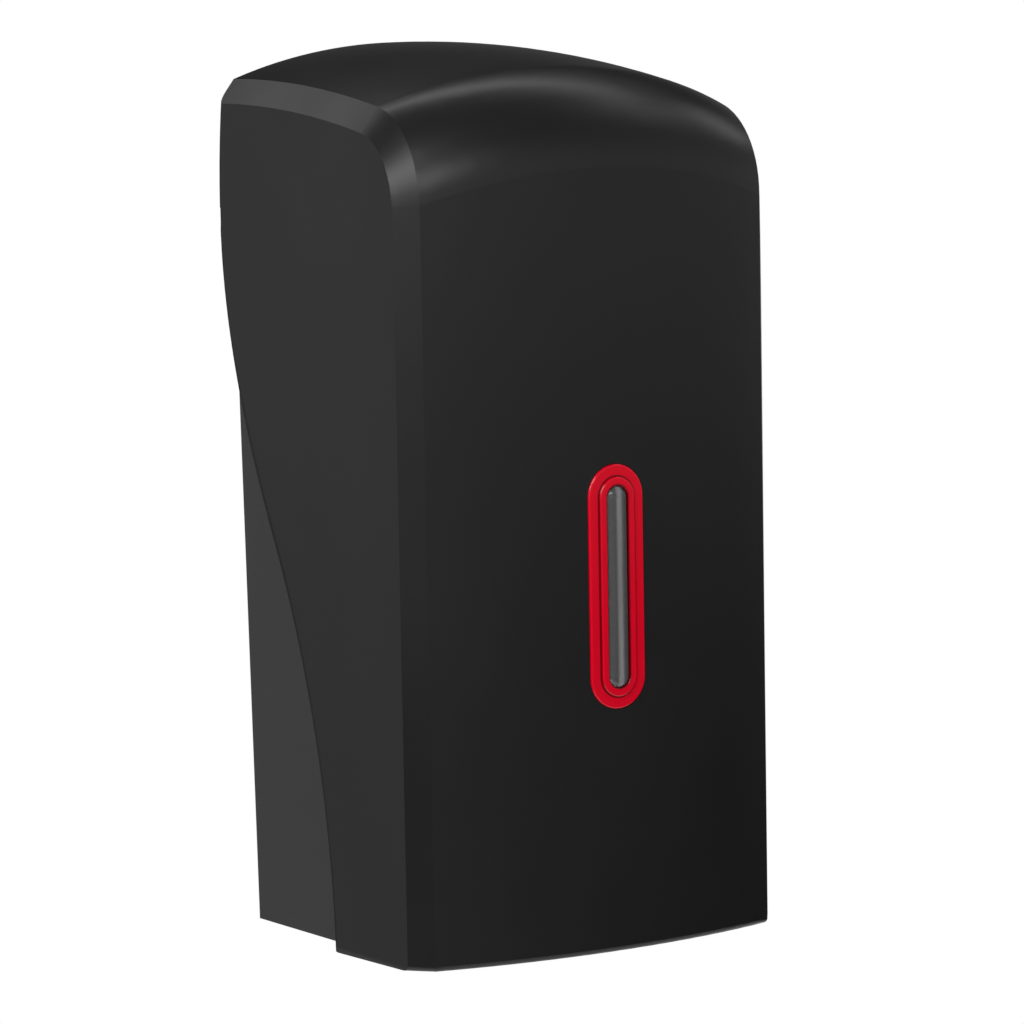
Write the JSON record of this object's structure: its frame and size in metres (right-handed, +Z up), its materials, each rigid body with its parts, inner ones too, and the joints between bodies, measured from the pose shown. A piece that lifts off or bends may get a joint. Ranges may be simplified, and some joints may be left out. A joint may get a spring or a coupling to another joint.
{
  "type": "folded toilet tissue dispenser",
  "caption": "Wall mounted lockable dispenser for packs of folded toilet tissue, with a crowned cover hinged at the bottom, a level window and a bottom outlet.",
  "frame": {"origin": "centre of the pattern of wall fixing slots, on the wall plane", "axes": "+X to the right as seen by the user, +Y into the wall, +Z up; the cover faces -Y"},
  "size_m": [0.1414, 0.1397, 0.3015],
  "materials": {
    "cover_plastic": "satin black, fine moulded sheen",
    "housing_plastic": "matt black moulded",
    "throat_plastic": "smooth black moulded",
    "bezel_red": "gloss red",
    "smoked_lens": "clear, lightly smoked, polished",
    "retainer_plastic": "matt black moulded",
    "zinc_steel": "zinc plated",
    "natural_acetal": "natural white bearing plastic",
    "lock_chrome": "satin chrome"
  },
  "bodies": {
    "housing": {"back_housing": "housing_plastic", "throat_insert": "throat_plastic", "hinge_bush_left": "natural_acetal", "hinge_bush_right": "natural_acetal", "lock_keeper": "zinc_steel", "keeper_screws": "zinc_steel"},
    "cover": {"front_cover": "cover_plastic", "window_bezel": "bezel_red", "window_lens": "smoked_lens", "lens_retainer": "retainer_plastic", "retainer_screws": "zinc_steel", "hinge_pin_left": "zinc_steel", "hinge_pin_right": "zinc_steel", "hinge_washer_left": "natural_acetal", "hinge_washer_right": "natural_acetal", "lock_barrel": "lock_chrome", "lock_nut": "lock_chrome"},
    "lock": {"lock_plug": "lock_chrome", "lock_cam": "zinc_steel", "cam_washer": "zinc_steel", "cam_screw": "zinc_steel"}
  },
  "joints": [
    {"name": "cover_hinge", "type": "hinge", "parent": "housing", "child": "cover", "pos_m": [0, -0.098, -0.136], "axis": [1, 0, 0], "range_deg": [0, 100]},
    {"name": "lock_turn", "type": "hinge", "parent": "cover", "child": "lock", "pos_m": [0.07, -0.026, 0.078], "axis": [1, 0, 0], "range_deg": [0, 90]}
  ]
}
